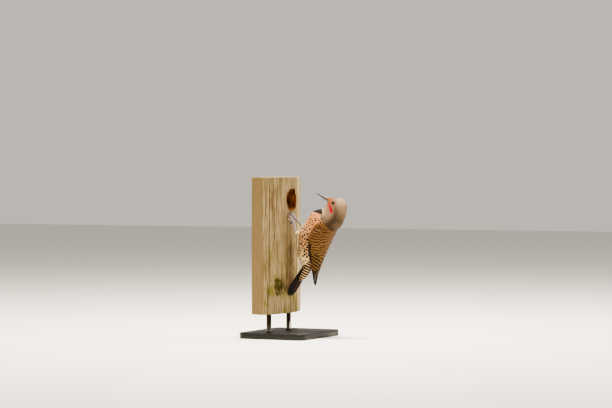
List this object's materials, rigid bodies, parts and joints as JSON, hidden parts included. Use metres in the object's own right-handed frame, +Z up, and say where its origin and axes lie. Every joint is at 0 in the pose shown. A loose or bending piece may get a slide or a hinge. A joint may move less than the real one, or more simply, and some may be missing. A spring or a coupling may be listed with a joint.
{
  "type": "northern flicker woodpecker",
  "caption": "Life-size still model of a woodpecker clinging to an upright slab of weathered pole, head thrown back, tail propped, on a plain display stand.",
  "frame": {"origin": "centre of the underside of the stand's base, on the floor", "axes": "+Z up; the bird's plane of symmetry is XZ, its back faces +X, its belly and the slab face -X, its left side faces -Y"},
  "size_m": [0.2482, 0.22, 0.4],
  "materials": {
    "plumage_head": "soft feathers",
    "plumage_body": "soft feathers",
    "plumage_wing": "barred feathers",
    "plumage_tail": "stiff dark feathers",
    "horn": "smooth horn",
    "eye": "wet gloss",
    "leg_skin": "scaly skin",
    "claw": "dark horn",
    "old_wood": "weathered, cracked along the grain",
    "stand": "satin",
    "rod": "brushed"
  },
  "bodies": {
    "root": {"head": "plumage_head", "neck": "plumage_head", "trunk": "plumage_body", "wing_left": "plumage_wing", "eye_left": "eye", "thigh_left": "plumage_body", "tarsus_left": "leg_skin", "foot_left": "leg_skin", "claw_left_1": "claw", "claw_left_2": "claw", "claw_left_3": "claw", "claw_left_4": "claw", "stand_rod_left": "rod", "wing_right": "plumage_wing", "eye_right": "eye", "thigh_right": "plumage_body", "tarsus_right": "leg_skin", "foot_right": "leg_skin", "claw_right_1": "claw", "claw_right_2": "claw", "claw_right_3": "claw", "claw_right_4": "claw", "stand_rod_right": "rod", "tail": "plumage_tail", "bill_upper": "horn", "bill_lower": "horn", "perch": "old_wood", "stand_base": "stand"}
  },
  "joints": []
}
